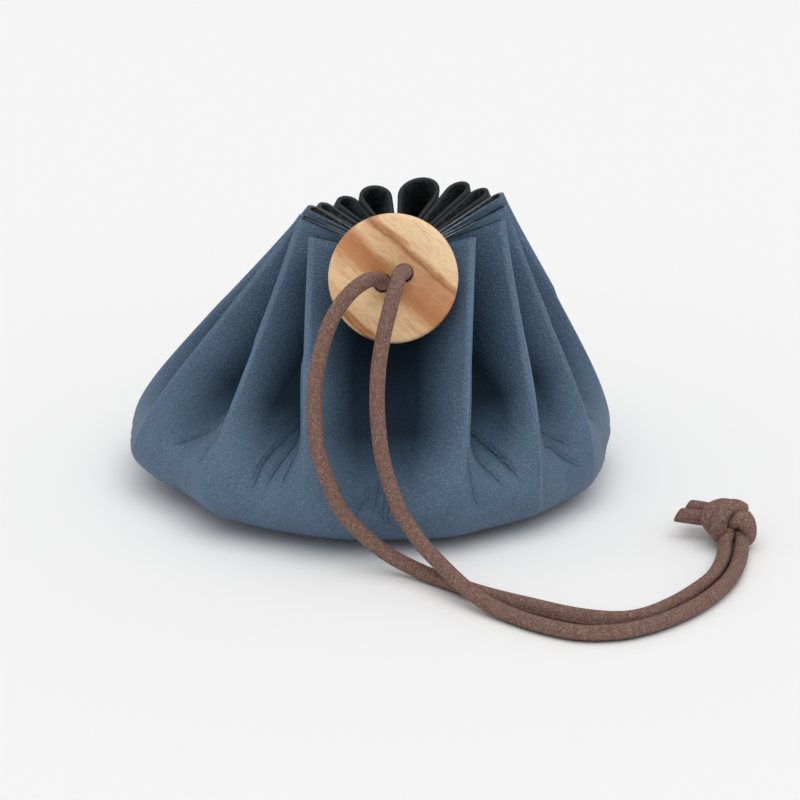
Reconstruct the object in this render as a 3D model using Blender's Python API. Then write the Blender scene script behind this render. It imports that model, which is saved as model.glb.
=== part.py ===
"""A small drawstring pouch: one disc of leather folded into pleats and gathered at the neck.

The base lies on the floor with its centre at the origin, +Z is up, and the drawstring comes out
towards -Y through a round wooden stopper. Azimuths are measured from the front, positive to +X.
"""

import math

import bmesh
import bpy
from mathutils import Matrix, Vector

# The gathered leather, in metres. Radii and heights are those of the middle of its thickness.
LEATHER = 0.0008
FLOOR_RADIUS = 0.0310
BELLY_RADIUS = 0.0466
BELLY_HEIGHT = 0.0085
RIM_RADIUS = 0.0199
RIM_HEIGHT = 0.0529
EDGE_FALL = 0.0055
MOUTH_RADIUS = 0.0080
SCALLOP = 0.0012
LEAN = 0.0063
RIM_TILT = 0.05
SLUMP = 0.0010

# Each fold's azimuth in degrees, first from the front to the right, then from the front to the left.
RIGHT_TIPS = (41, 70, 100, 110, 128, 144, 169)
LEFT_TIPS = (61, 88, 98, 113, 126, 143, 161)
RIGHT_FEET = (22, 44, 64, 93, 120, 145, 170)
LEFT_FEET = (17, 41, 74, 99, 123, 147, 171)
# How wide each fold stands open at the rim: the bend radius of its tip, in the same order.
RIGHT_LOOPS = (0.0010, 0.0010, 0.0010, 0.0012, 0.0018, 0.0021, 0.0037)
LEFT_LOOPS = (0.0010, 0.0010, 0.0010, 0.0013, 0.0014, 0.0020, 0.0029)
# How far each fold's tip ends above or below the rim height, in the same order.
RIGHT_LIFTS = (-0.0012, -0.0005, -0.0007, 0.0008, 0.0003, 0.0007, 0.0010)
LEFT_LIFTS = (-0.0012, 0.0000, -0.0005, -0.0003, -0.0010, -0.0011, 0.0000)
CREASE_RADIUS = 0.0011
FOOT_RADIUS = 0.0120
VALLEY_RADIUS = 0.0070
FRONT_VALLEY_RADIUS = 0.0030

# The drawstring, and the line round the neck along which it threads every fold, below the rim.
CORD = 0.0028
THREAD_RADIUS = 0.0115
THREAD_DROP = 0.0099
THREAD_RIGHT_END = 50
THREAD_LEFT_END = 58

# The turned wooden stopper. Its axis points forward and up from the middle of the neck, below the rim.
BUTTON_DIAMETER = 0.0240
BUTTON_THICKNESS = 0.0045
BUTTON_EDGE = 0.0009
BUTTON_DROP = 0.0144
BUTTON_TILT = 20
HOLE_PITCH = 0.0044
HOLE_TURN = 25
BUTTON_TRAVEL = 0.0050

# Clearances.
CORD_CLEARANCE = 0.0003
SEAT_CLEARANCE = 0.0003
END_CLEARANCE = 0.0003
FOLD_CLEARANCE = 0.0003

# How finely the leather is divided: rows in percent of the floor, the belly and the slope, and
# steps round half a pleat.
FLOOR_ROWS = (55, 100)
BELLY_ROWS = (35, 70, 100)
SLOPE_ROWS = (12, 25, 40, 55, 70, 82, 91, 100)
TIP_STEPS = 3
VALLEY_STEPS = 2
SEAT_SAMPLES = 8

# The loose strands. From the stopper on, each follows points chosen by hand.
LEFT_ROUTE = (
    (0.0013, -0.0332, 0.0499), (-0.0004, -0.0356, 0.0504), (-0.0027, -0.0378, 0.0495),
    (-0.0047, -0.0394, 0.0477), (-0.0063, -0.0406, 0.0455), (-0.0076, -0.0418, 0.0427),
    (-0.0090, -0.0434, 0.0378), (-0.0098, -0.0450, 0.0322), (-0.0097, -0.0464, 0.0258),
    (-0.0089, -0.0476, 0.0209), (-0.0059, -0.0492, 0.0130), (-0.0033, -0.0500, 0.0093),
    (-0.0001, -0.0508, 0.0063), (0.0037, -0.0518, 0.0036), (0.0082, -0.0540, 0.0020),
    (0.0126, -0.0574, 0.0015), (0.0203, -0.0639, 0.0015), (0.0291, -0.0693, 0.0015),
    (0.0362, -0.0731, 0.0015), (0.0428, -0.0746, 0.0015), (0.0478, -0.0731, 0.0015),
    (0.0530, -0.0685, 0.0015), (0.0573, -0.0630, 0.0015), (0.0610, -0.0570, 0.0015),
    (0.0632, -0.0508, 0.0018), (0.0644, -0.0453, 0.0026), (0.0648, -0.0424, 0.0034),
    (0.0648, -0.0408, 0.0038),
)
RIGHT_ROUTE = (
    (0.0053, -0.0334, 0.0506), (0.0050, -0.0362, 0.0500), (0.0042, -0.0386, 0.0481),
    (0.0034, -0.0404, 0.0453), (0.0026, -0.0418, 0.0422), (0.0017, -0.0436, 0.0369),
    (0.0014, -0.0453, 0.0314), (0.0017, -0.0470, 0.0258), (0.0026, -0.0490, 0.0202),
    (0.0051, -0.0520, 0.0132), (0.0073, -0.0538, 0.0100), (0.0099, -0.0562, 0.0071),
    (0.0124, -0.0590, 0.0054), (0.0149, -0.0626, 0.0042), (0.0175, -0.0660, 0.0031),
    (0.0206, -0.0693, 0.0021), (0.0251, -0.0733, 0.0015), (0.0304, -0.0775, 0.0015),
    (0.0362, -0.0802, 0.0015), (0.0421, -0.0801, 0.0015), (0.0469, -0.0782, 0.0015),
    (0.0518, -0.0747, 0.0015), (0.0570, -0.0694, 0.0015), (0.0615, -0.0630, 0.0015),
    (0.0648, -0.0563, 0.0015), (0.0667, -0.0501, 0.0017), (0.0678, -0.0453, 0.0023),
    (0.0681, -0.0426, 0.0030), (0.0681, -0.0409, 0.0034),
)

# The knot at their ends: where its turns lie, and the two cut tails that leave it.
KNOT_TURNS = (
    ((0.0693, -0.0352, 0.0038), (0.0685, -0.0352, 0.0058), (0.0667, -0.0362, 0.0068),
     (0.0646, -0.0372, 0.0068), (0.0629, -0.0382, 0.0061), (0.0621, -0.0396, 0.0049),
     (0.0624, -0.0406, 0.0036), (0.0635, -0.0410, 0.0027), (0.0652, -0.0402, 0.0020)),
    ((0.0697, -0.0372, 0.0044), (0.0687, -0.0378, 0.0060), (0.0669, -0.0388, 0.0069),
     (0.0653, -0.0402, 0.0068), (0.0645, -0.0414, 0.0058), (0.0640, -0.0420, 0.0044),
     (0.0643, -0.0418, 0.0031), (0.0653, -0.0404, 0.0022)),
    ((0.0662, -0.0400, 0.0056), (0.0675, -0.0411, 0.0060), (0.0688, -0.0417, 0.0053),
     (0.0695, -0.0421, 0.0039), (0.0694, -0.0420, 0.0025), (0.0684, -0.0400, 0.0018),
     (0.0664, -0.0368, 0.0018)),
    ((0.0668, -0.0412, 0.0036), (0.0664, -0.0390, 0.0042), (0.0652, -0.0362, 0.0044),
     (0.0638, -0.0340, 0.0044)),
    ((0.0693, -0.0352, 0.0038), (0.0686, -0.0345, 0.0026), (0.0670, -0.0335, 0.0024),
     (0.0654, -0.0322, 0.0032), (0.0642, -0.0314, 0.0042)),
)
TURN_THICKNESS = 0.0033
FRONT_TAIL = ((0.0634, -0.0345, 0.0042), (0.0598, -0.0343, 0.0044), (0.0564, -0.0341, 0.0047))
BACK_TAIL = ((0.0638, -0.0312, 0.0044), (0.0616, -0.0309, 0.0047), (0.0594, -0.0306, 0.0048))
ROUTE_STEP = 2.2
KNOT_VOXEL = 0.36
WELD = 0.000001


def smooth(low, high, value):
    """Rises smoothly from 0 at low to 1 at high."""
    share = min(max((value - low) / (high - low), 0.0), 1.0)
    return share * share * (3 - 2 * share)


def bezier(points, t):
    """A point on the cubic curve through the first and last of four points."""
    a, b, c, d = (Vector(p) for p in points)
    s = 1 - t
    return a * s**3 + b * 3 * s * s * t + c * 3 * s * t * t + d * t**3


def toward(azimuth):
    """The level direction at an azimuth in degrees from the front."""
    turn = math.radians(azimuth)
    return Vector((math.sin(turn), -math.cos(turn)))


def slump(point):
    """The left side of the leather hangs out a little further than the right."""
    rise = max(0.0, (point[2] - BELLY_HEIGHT) / (RIM_HEIGHT - BELLY_HEIGHT))
    out = SLUMP * max(0.0, -point[0]) / BELLY_RADIUS * (1 - rise) * (1 + 3 * rise)
    return (point[0] - out, point[1], point[2])


def lean(point):
    """Above the belly the neck is pulled a little to +X and its rim is tilted."""
    rise = max(0.0, (point[2] - BELLY_HEIGHT) / (RIM_HEIGHT - BELLY_HEIGHT))
    return Vector((point[0] + LEAN * rise, point[1], point[2] + RIM_TILT * point[0] * rise))


def pleats():
    """Every pleat in order round the pouch: its tip and foot azimuth, loop radius and lift."""
    right = list(zip(RIGHT_TIPS, RIGHT_FEET, RIGHT_LOOPS, RIGHT_LIFTS))
    left = [(360 - tip, 360 - foot, loop, lift)
            for tip, foot, loop, lift in zip(LEFT_TIPS, LEFT_FEET, LEFT_LOOPS, LEFT_LIFTS)]
    return right + left[::-1]


def between(angles, index):
    """The azimuth halfway between a fold and the next one round."""
    following = angles[(index + 1) % len(angles)]
    if index + 1 == len(angles):
        following += 360
    return (angles[index] + following) / 2


def valleys():
    """The tip and foot azimuth of the valley after each pleat; at the neck they are spread evenly."""
    tips, feet, _, _ = zip(*pleats())
    count = len(tips)
    side = count // 2
    tops = [between(tips, i) for i in range(count)]
    even = list(tops)
    for start, end in ((0, side - 1), (side - 1, count - 2)):
        for i in range(start, end + 1):
            even[i] = tops[start] + (tops[end] - tops[start]) * (i - start) / (end - start)
    return [((tops[i] + even[i]) / 2, between(feet, i)) for i in range(count)]


def ridge_line(t):
    """Radius and height of the folds' outer edges on the slope, from the belly to the rim."""
    return bezier((
        (BELLY_RADIUS, BELLY_HEIGHT),
        (BELLY_RADIUS * 0.99, BELLY_HEIGHT + RIM_HEIGHT * 0.17),
        (RIM_RADIUS * 1.34, RIM_HEIGHT * 0.79),
        (RIM_RADIUS, RIM_HEIGHT),
    ), t)


def valley_line(t):
    """Radius and height of the valleys between them, which run in to the mouth."""
    return bezier((
        (BELLY_RADIUS - SCALLOP, BELLY_HEIGHT),
        (BELLY_RADIUS * 0.94, BELLY_HEIGHT + RIM_HEIGHT * 0.26),
        (MOUTH_RADIUS, RIM_HEIGHT * 0.46),
        (MOUTH_RADIUS, RIM_HEIGHT - EDGE_FALL),
    ), t)


def turned(vector, angle):
    return Matrix.Rotation(angle, 2) @ vector


def wall_path(tip, tip_way, tip_bend, valley, valley_way, valley_bend, side):
    """Half a pleat in plan: round the tip, straight along the wall and round the valley."""
    while True:
        tip_centre = tip - tip_way * tip_bend
        valley_centre = valley + valley_way * valley_bend
        across = valley_centre - tip_centre
        if across.length > (tip_bend + valley_bend) * 1.02:
            break
        tip_bend *= 0.95
        valley_bend *= 0.95
    lead = math.acos((tip_bend + valley_bend) / across.length)
    touch = turned(across.normalized(), side * lead)
    tip_arc = tip_way.angle_signed(touch)
    valley_arc = (-touch).angle_signed(-valley_way)
    path = [tip_centre + turned(tip_way, -tip_arc * i / TIP_STEPS) * tip_bend for i in range(TIP_STEPS + 1)]
    for i in range(VALLEY_STEPS + 1):
        path.append(valley_centre + turned(-touch, -valley_arc * i / VALLEY_STEPS) * valley_bend)
    return path


def scallop_path(tip, valley, low_radius, high_radius):
    """Half a pleat in plan low down, where the folds have faded into shallow scallops."""
    steps = TIP_STEPS + VALLEY_STEPS + 1
    sweep = tip.angle_signed(valley)
    path = []
    for i in range(steps + 1):
        share = i / steps
        dip = (1 - math.cos(math.pi * share)) / 2
        radius = high_radius + (low_radius - high_radius) * dip
        path.append(turned(tip.normalized(), -sweep * share) * radius)
    return path


def leather_row(tip_radius, tip_height, valley_radius, valley_height, t):
    """One closed row of points round the pouch at a share t of the way up the slope."""
    folds = pleats()
    hollows = valleys()
    gathered = smooth(0.0, 0.3, t)
    tip_share = max(0.0, (BELLY_RADIUS - tip_radius) / (BELLY_RADIUS - RIM_RADIUS)) if t > 0 else 0.0
    valley_share = max(0.0, (BELLY_RADIUS - SCALLOP - valley_radius)
                       / (BELLY_RADIUS - SCALLOP - MOUTH_RADIUS)) if t > 0 else 0.0
    foot_scale = min(1.0, tip_radius / BELLY_RADIUS) if t <= 0 else 1.0
    tips = [(toward(foot) * BELLY_RADIUS * foot_scale).lerp(toward(top) * RIM_RADIUS, tip_share)
            for top, foot, _, _ in folds]
    hollow_scale = valley_radius / (BELLY_RADIUS - SCALLOP) if t <= 0 else 1.0
    dips = [(toward(foot) * (BELLY_RADIUS - SCALLOP) * hollow_scale).lerp(toward(top) * MOUTH_RADIUS, valley_share)
            for top, foot in hollows]
    points = []
    for i, (_, _, loop, lift) in enumerate(folds):
        fold_height = tip_height + lift * max(0.0, t) ** 2
        tip = tips[i]
        before, after = dips[i - 1], dips[i]
        crease = CREASE_RADIUS + (FOOT_RADIUS - CREASE_RADIUS) * (1 - smooth(0.0, 0.35, t))
        tip_bend = crease + (loop - CREASE_RADIUS) * smooth(0.55, 1.0, t)
        radial = tip.normalized()
        axis = radial.lerp((tip - (before + after) / 2).normalized(), smooth(0.2, 1.0, t)).normalized()
        halves = []
        for valley, side, index in ((before, 1, i - 1), (after, -1, i)):
            tight = FRONT_VALLEY_RADIUS if index % len(folds) == len(folds) - 1 else (LEATHER + FOLD_CLEARANCE) / 2
            valley_bend = tight + (VALLEY_RADIUS - tight) * (1 - smooth(0.3, 0.9, t))
            folded = wall_path(tip, axis, tip_bend, valley, valley.normalized(), valley_bend, side)
            faded = scallop_path(tip, valley, valley.length, tip.length)
            halves.append([low.lerp(high, gathered) for low, high in zip(faded, folded)])
        outline = halves[0][:0:-1] + halves[1][:-1]
        for flat in outline:
            reach = max(tip_radius - valley_radius, LEATHER)
            share = min(max((flat.length - valley_radius) / reach, 0.0), 1.0)
            height = valley_height + (fold_height - valley_height) * share
            points.append(lean(slump((flat.x, flat.y, height))))
    return points


def leather_rows():
    """All rows from the flat base, round the belly and up the slope to the rim."""
    middle = LEATHER / 2
    rows = []
    for percent in FLOOR_ROWS:
        radius = FLOOR_RADIUS * percent / 100
        rows.append(leather_row(radius, middle, radius, middle, 0.0))
    for percent in BELLY_ROWS:
        share = percent / 100
        turn = share * math.pi / 2
        radius = FLOOR_RADIUS + (BELLY_RADIUS - FLOOR_RADIUS) * math.sin(turn)
        height = middle + (BELLY_HEIGHT - middle) * (1 - math.cos(turn))
        rows.append(leather_row(radius, height, radius - SCALLOP * share, height, 0.0))
    for percent in SLOPE_ROWS:
        t = percent / 100
        rows.append(leather_row(*ridge_line(t), *valley_line(t), t))
    return rows


def material(name, colour, roughness, metallic=0.0):
    finish = bpy.data.materials.new(name)
    finish.use_nodes = True
    shader = finish.node_tree.nodes["Principled BSDF"]
    shader.inputs["Base Color"].default_value = (*colour, 1.0)
    shader.inputs["Roughness"].default_value = roughness
    shader.inputs["Metallic"].default_value = metallic
    return finish


def add_mesh(name, shape, finish):
    """A named object from a bmesh, shaded smooth except at sharp edges."""
    mesh = bpy.data.meshes.new(name)
    shape.to_mesh(mesh)
    shape.free()
    mesh.shade_smooth()
    mesh.set_sharp_from_angle(angle=math.radians(40))
    mesh.materials.append(finish)
    piece = bpy.data.objects.new(name, mesh)
    bpy.context.scene.collection.objects.link(piece)
    return piece


def leather_skin():
    """The middle surface of the leather: a filled base and a band of faces between rows."""
    shape = bmesh.new()
    rows = [[shape.verts.new(point) for point in row] for row in leather_rows()]
    shape.faces.new(rows[0][::-1])
    for low, high in zip(rows, rows[1:]):
        for i in range(len(low)):
            j = (i + 1) % len(low)
            shape.faces.new((low[i], low[j], high[j], high[i]))
    bmesh.ops.recalc_face_normals(shape, faces=shape.faces)
    return shape


def rounded_route(points, step):
    """Points a step apart on a smooth curve through the given ones."""
    points = [Vector(p) for p in points]
    ends = [points[0] * 2 - points[1]] + points + [points[-1] * 2 - points[-2]]
    fine = []
    for a, b, c, d in zip(ends, ends[1:], ends[2:], ends[3:]):
        for i in range(12):
            t = i / 12
            fine.append((b * 2 + (c - a) * t + (a * 2 - b * 5 + c * 4 - d) * t * t
                         + (b * 3 - a - c * 3 + d) * t**3) / 2)
    fine.append(points[-1])
    total = sum((q - p).length for p, q in zip(fine, fine[1:]))
    count = max(2, round(total / step))
    route, travelled, index = [fine[0]], 0.0, 0
    for i in range(1, count):
        goal = total * i / count
        while travelled + (fine[index + 1] - fine[index]).length < goal:
            travelled += (fine[index + 1] - fine[index]).length
            index += 1
        run = (fine[index + 1] - fine[index]).length
        route.append(fine[index].lerp(fine[index + 1], (goal - travelled) / run))
    return route + [fine[-1]]


def trimmed(route, start, end):
    """The route cut back at its ends, so that cords meet end to end with a gap."""
    first = route[0] + (route[1] - route[0]).normalized() * start
    last = route[-1] + (route[-2] - route[-1]).normalized() * end
    return [first] + route[1:-1] + [last]


def cord_tube(name, route, radius, finish):
    """A round cord along a route, with closed ends."""
    line = bpy.data.curves.new(name, "CURVE")
    line.dimensions = "3D"
    line.bevel_depth = radius
    line.bevel_resolution = 2
    line.use_fill_caps = True
    spline = line.splines.new("POLY")
    spline.points.add(len(route) - 1)
    for point, place in zip(spline.points, route):
        point.co = (*place, 1.0)
    line.materials.append(finish)
    piece = bpy.data.objects.new(name, line)
    bpy.context.scene.collection.objects.link(piece)
    return piece


def as_mesh(piece):
    """A closed mesh object with the shape of a curve object, which it replaces."""
    name = piece.name
    graph = bpy.context.evaluated_depsgraph_get()
    mesh = bpy.data.meshes.new_from_object(piece.evaluated_get(graph))
    bpy.data.objects.remove(piece)
    shape = bmesh.new()
    shape.from_mesh(mesh)
    bmesh.ops.remove_doubles(shape, verts=shape.verts, dist=WELD)
    shape.to_mesh(mesh)
    shape.free()
    solid = bpy.data.objects.new(name, mesh)
    bpy.context.scene.collection.objects.link(solid)
    return solid


def button_frame():
    """The stopper's start point on the neck's axis, and its axis, side and upward directions."""
    tilt = math.radians(BUTTON_TILT)
    start = lean((0, 0, RIM_HEIGHT - BUTTON_DROP))
    axis = Vector((0, -math.cos(tilt), math.sin(tilt)))
    side = Vector((1, 0, 0))
    return start, axis, side, side.cross(axis) * -1


def hole_offsets():
    """From the stopper's middle to its left and right hole."""
    _, _, side, up = button_frame()
    turn = math.radians(HOLE_TURN)
    right = (side * math.cos(turn) + up * math.sin(turn)) * (HOLE_PITCH / 2)
    return -right, right


def seat_distance(skin):
    """How far along its axis the stopper's back rests against the front folds."""
    start, axis, _, _ = button_frame()
    reach = BUTTON_DIAMETER / 2 + SEAT_CLEARANCE
    furthest = 0.0
    for face in skin.faces:
        corners = [vert.co for vert in face.verts]
        if len(corners) > 4:
            continue
        face.normal_update()
        for i in range(SEAT_SAMPLES + 1):
            low = corners[0].lerp(corners[1], i / SEAT_SAMPLES)
            high = corners[3].lerp(corners[2], i / SEAT_SAMPLES)
            for j in range(SEAT_SAMPLES + 1):
                middle = low.lerp(high, j / SEAT_SAMPLES) - start
                for offset in (middle + face.normal * LEATHER / 2, middle - face.normal * LEATHER / 2):
                    along = offset.dot(axis)
                    if along > furthest and (offset - axis * along).length < reach:
                        furthest = along
    return furthest + SEAT_CLEARANCE + BUTTON_THICKNESS / 2


def thread_route():
    """The drawstring round the neck, from behind the right hole to behind the left one."""
    start, axis, _, _ = button_frame()
    left, right = hole_offsets()
    behind = THREAD_RADIUS * 1.28
    ring = []
    first, last = THREAD_RIGHT_END, 360 - THREAD_LEFT_END
    steps = 16
    for i in range(steps + 1):
        way = toward(first + (last - first) * i / steps) * THREAD_RADIUS
        ring.append(lean((way.x, way.y, RIM_HEIGHT - THREAD_DROP)))
    back = axis * behind
    return [start + right + back, start + right + back * 0.86] + ring + [
        start + left + back * 0.86, start + left + back]


def strand_route(hole, seat, points):
    """A loose strand: straight through the stopper and past its travel, then along its points."""
    start, axis, _, _ = button_frame()
    behind = THREAD_RADIUS * 1.28
    front = seat + BUTTON_THICKNESS / 2 + BUTTON_TRAVEL
    straight = [start + hole + axis * (behind + (front - behind) * i / 4) for i in range(5)]
    return straight + [Vector(p) for p in points]


def make_leather(finish):
    skin = leather_skin()
    seat = seat_distance(skin)
    pouch = add_mesh("leather_body", skin, finish)
    wall = pouch.modifiers.new("Leather", "SOLIDIFY")
    wall.thickness = LEATHER
    wall.offset = 0.0
    wall.use_even_offset = True
    cutter = as_mesh(cord_tube("thread_holes", rounded_route(thread_route(), CORD), CORD / 2 + CORD_CLEARANCE, finish))
    cutter.hide_render = True
    cutter.display_type = "WIRE"
    holes = pouch.modifiers.new("Thread holes", "BOOLEAN")
    holes.operation = "DIFFERENCE"
    holes.object = cutter
    return seat


def make_button(seat, finish):
    """A turned disc with an eased rim and two holes across it."""
    start, axis, side, up = button_frame()
    half, radius = BUTTON_THICKNESS / 2, BUTTON_DIAMETER / 2
    shape = bmesh.new()
    bmesh.ops.create_cone(shape, cap_ends=True, segments=48, radius1=radius, radius2=radius, depth=BUTTON_THICKNESS)
    rims = [e for e in shape.edges if abs(e.verts[0].co.z - e.verts[1].co.z) < half]
    bmesh.ops.bevel(shape, geom=rims, offset=BUTTON_EDGE, segments=3, affect="EDGES", profile=0.5)
    button = add_mesh("wood_button", shape, finish)
    place = Matrix((side, up, axis)).transposed().to_4x4()
    place.translation = start + axis * seat
    button.matrix_world = place
    turn = math.radians(HOLE_TURN)
    for name, way in (("left_hole", -1), ("right_hole", 1)):
        drill = bmesh.new()
        bmesh.ops.create_cone(drill, cap_ends=True, segments=20, radius1=CORD / 2 + CORD_CLEARANCE,
                              radius2=CORD / 2 + CORD_CLEARANCE, depth=BUTTON_THICKNESS * 2)
        cutter = add_mesh(name, drill, finish)
        cutter.parent = button
        cutter.location = Vector((math.cos(turn), math.sin(turn), 0)) * (way * HOLE_PITCH / 2)
        cutter.hide_render = True
        cutter.display_type = "WIRE"
        hole = button.modifiers.new(name, "BOOLEAN")
        hole.operation = "DIFFERENCE"
        hole.object = cutter


def make_knot(sockets, finish):
    """The tightened knot, a single lump of cords pressed together, with sockets for the loose ones."""
    shape = bmesh.new()
    for points in KNOT_TURNS:
        turn = as_mesh(cord_tube("knot_turn", rounded_route(points, CORD / 2), TURN_THICKNESS / 2, finish))
        shape.from_mesh(turn.data)
        bpy.data.objects.remove(turn)
    knot = add_mesh("end_knot", shape, finish)
    lump = knot.modifiers.new("Pressed together", "REMESH")
    lump.mode = "VOXEL"
    lump.voxel_size = CORD * KNOT_VOXEL
    for name, route in sockets:
        end = route[-1] + (route[-1] - route[-2]).normalized() * END_CLEARANCE
        cutter = as_mesh(cord_tube(name, route[:-1] + [end], CORD / 2 + CORD_CLEARANCE, finish))
        cutter.hide_render = True
        cutter.display_type = "WIRE"
        socket = knot.modifiers.new(name, "BOOLEAN")
        socket.operation = "DIFFERENCE"
        socket.solver = "MANIFOLD"
        socket.object = cutter


def main():
    for old in list(bpy.data.objects):
        bpy.data.objects.remove(old)
    leather = material("blue_leather", (0.058, 0.117, 0.209), 0.55)
    wood = material("olive_wood", (0.66, 0.42, 0.21), 0.45)
    cotton = material("waxed_cord", (0.105, 0.058, 0.045), 0.75)
    seat = make_leather(leather)
    make_button(seat, wood)
    left, right = hole_offsets()
    step = CORD * ROUTE_STEP
    loop = rounded_route(thread_route(), CORD)
    cord_tube("neck_loop", trimmed(loop, END_CLEARANCE, END_CLEARANCE), CORD / 2, cotton)
    sockets = []
    for name, hole, points in (("strand_left", left, LEFT_ROUTE), ("strand_right", right, RIGHT_ROUTE)):
        route = rounded_route(strand_route(hole, seat, points), step)
        cord_tube(name, route, CORD / 2, cotton)
        sockets.append((name + "_socket", route[-4:]))
    for name, points in (("tail_front", FRONT_TAIL), ("tail_back", BACK_TAIL)):
        route = [Vector(p) for p in points]
        cord_tube(name, route, CORD / 2, cotton)
        sockets.append((name + "_socket", route[::-1]))
    make_knot(sockets, cotton)


main()
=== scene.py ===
# %% [markdown]
# # A small gathered leather pouch
#
# The pouch is one round piece of soft blue leather. A braided cord threads its folds, gathers them
# round the neck, and comes out at the front through two holes in a round wooden stopper. This lesson
# dresses the plain solids of the pouch: fine folds and creases in the leather, braid on the cord and
# streaky grain in the wood. The solids are loaded first and are never moved, so every new piece is
# measured from them.

# %% Load the solids
import math

import bmesh
import bpy
from mathutils import Matrix, Vector, noise


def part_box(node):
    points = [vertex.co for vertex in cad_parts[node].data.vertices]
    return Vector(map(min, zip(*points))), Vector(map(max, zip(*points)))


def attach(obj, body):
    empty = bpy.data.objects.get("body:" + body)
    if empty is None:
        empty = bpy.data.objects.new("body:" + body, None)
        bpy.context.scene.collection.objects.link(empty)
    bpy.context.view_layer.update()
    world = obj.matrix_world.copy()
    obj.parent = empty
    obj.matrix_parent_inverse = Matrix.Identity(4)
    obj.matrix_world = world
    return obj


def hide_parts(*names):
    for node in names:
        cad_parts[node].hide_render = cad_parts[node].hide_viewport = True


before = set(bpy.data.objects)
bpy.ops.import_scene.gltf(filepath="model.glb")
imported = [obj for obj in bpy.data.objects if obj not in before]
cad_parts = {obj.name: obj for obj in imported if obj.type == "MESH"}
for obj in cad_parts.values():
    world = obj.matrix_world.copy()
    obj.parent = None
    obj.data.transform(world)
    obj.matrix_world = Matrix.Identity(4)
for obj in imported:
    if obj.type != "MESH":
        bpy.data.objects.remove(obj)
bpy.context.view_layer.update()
MM = 0.001

# %% [markdown]
# ## The camera
#
# The picture is taken from the front, a little above the table, with a long lens that keeps the
# verticals almost parallel. The camera aims at a point just right of the pouch's middle, because the
# loose cord lies to the right. The lens length follows from the picture's width of 800 pixels and
# from how many of them one millimetre takes up at that distance.

# %% Place the camera
AIM = Vector((5.5, 0, 14.6)) * MM
DISTANCE = 550 * MM
ELEVATION = math.radians(20)
PICTURE_WIDTH = 800
PIXELS_PER_MM = 5.10
SENSOR_WIDTH = 36


def place_camera():
    """A camera in front of the pouch, level with the horizon and looking slightly down."""
    lens = bpy.data.cameras.new("camera")
    lens.sensor_width = SENSOR_WIDTH
    lens.lens = SENSOR_WIDTH * PIXELS_PER_MM * DISTANCE / MM / PICTURE_WIDTH
    eye = bpy.data.objects.new("camera", lens)
    back = Vector((0, -math.cos(ELEVATION), math.sin(ELEVATION)))
    eye.location = AIM + back * DISTANCE
    eye.rotation_euler = back.to_track_quat("Z", "Y").to_euler()
    bpy.context.scene.collection.objects.link(eye)
    bpy.context.scene.camera = eye
    print("lens", round(lens.lens, 1), "mm")


place_camera()

# %% [markdown]
# ## Small helpers for materials
#
# Colours are written as the hex values that a paint program shows, so one function turns them into
# the linear numbers that the shader works with. One more function adds a node with its settings and
# its links. The few after it name the common nodes, which keeps each material a short list of what it
# is made of.

# %% Colour and node helpers
def linear(hex_colour):
    """The linear colour of an sRGB hex value such as #44607E."""
    channels = [int(hex_colour[i:i + 2], 16) / 255 for i in (1, 3, 5)]
    return tuple(c / 12.92 if c <= 0.04045 else ((c + 0.055) / 1.055) ** 2.4 for c in channels) + (1.0,)


def add_node(tree, kind, inputs=(), **settings):
    """Adds one shader node: settings on the node, and values or links on its inputs."""
    made = tree.nodes.new("ShaderNode" + kind)
    for name, value in settings.items():
        setattr(made, name, value)
    for name, value in dict(inputs).items():
        socket = made.inputs[name]
        if isinstance(value, bpy.types.NodeSocket):
            tree.links.new(value, socket)
        else:
            socket.default_value = value
    return made


def new_material(name, **surface):
    """A material with one Principled shader, and its node tree."""
    finish = bpy.data.materials.new(name)
    finish.use_nodes = True
    shader = finish.node_tree.nodes["Principled BSDF"]
    for socket, value in surface.items():
        shader.inputs[socket.replace("_", " ")].default_value = value
    return finish, finish.node_tree, shader


def ranged(tree, value, low, high, start, end):
    """The value's place between low and high, as a number from start to end."""
    return add_node(tree, "MapRange", {"Value": value, "From Min": low, "From Max": high,
                                       "To Min": start, "To Max": end}).outputs["Result"]


def maths(tree, operation, *values):
    """The result of one operation on numbers or links."""
    return add_node(tree, "Math", dict(enumerate(values)), operation=operation).outputs["Value"]


def times(tree, one, other):
    return maths(tree, "MULTIPLY", one, other)


def vector_maths(tree, operation, *values):
    """The same for vectors. A dot product gives a number."""
    made = add_node(tree, "VectorMath", dict(enumerate(values)), operation=operation)
    return made.outputs["Value" if operation == "DOT_PRODUCT" else "Vector"]


def blended(tree, share, one, other):
    """One colour mixed into another by a share; a hex colour or a link for each."""
    one, other = (linear(c) if isinstance(c, str) else c for c in (one, other))
    return add_node(tree, "Mix", {0: share, 6: one, 7: other}, data_type="RGBA").outputs[2]


def ramp(tree, value, *stops):
    """A colour from a ramp. Its two outer stops come first."""
    made = add_node(tree, "ValToRGB", {"Fac": value})
    points = made.color_ramp.elements
    for i, (place, hex_colour) in enumerate(stops):
        point = points[i] if i < 2 else points.new(place)
        point.position = place
        point.color = linear(hex_colour)
    return made.outputs["Color"]


def object_place(tree):
    return add_node(tree, "TexCoord").outputs["Object"]


def kept_number(tree, name):
    """A number that the mesh keeps at each of its points."""
    return add_node(tree, "Attribute", attribute_name=name).outputs["Fac"]


def stretched(tree, place, scale):
    return add_node(tree, "Mapping", {"Vector": place, "Scale": scale}).outputs["Vector"]


def cloudy(tree, place, scale, detail, output="Fac"):
    """Noise of a scale, as a number or as a colour."""
    return add_node(tree, "TexNoise", {"Vector": place, "Scale": scale, "Detail": detail}).outputs[output]


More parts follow.
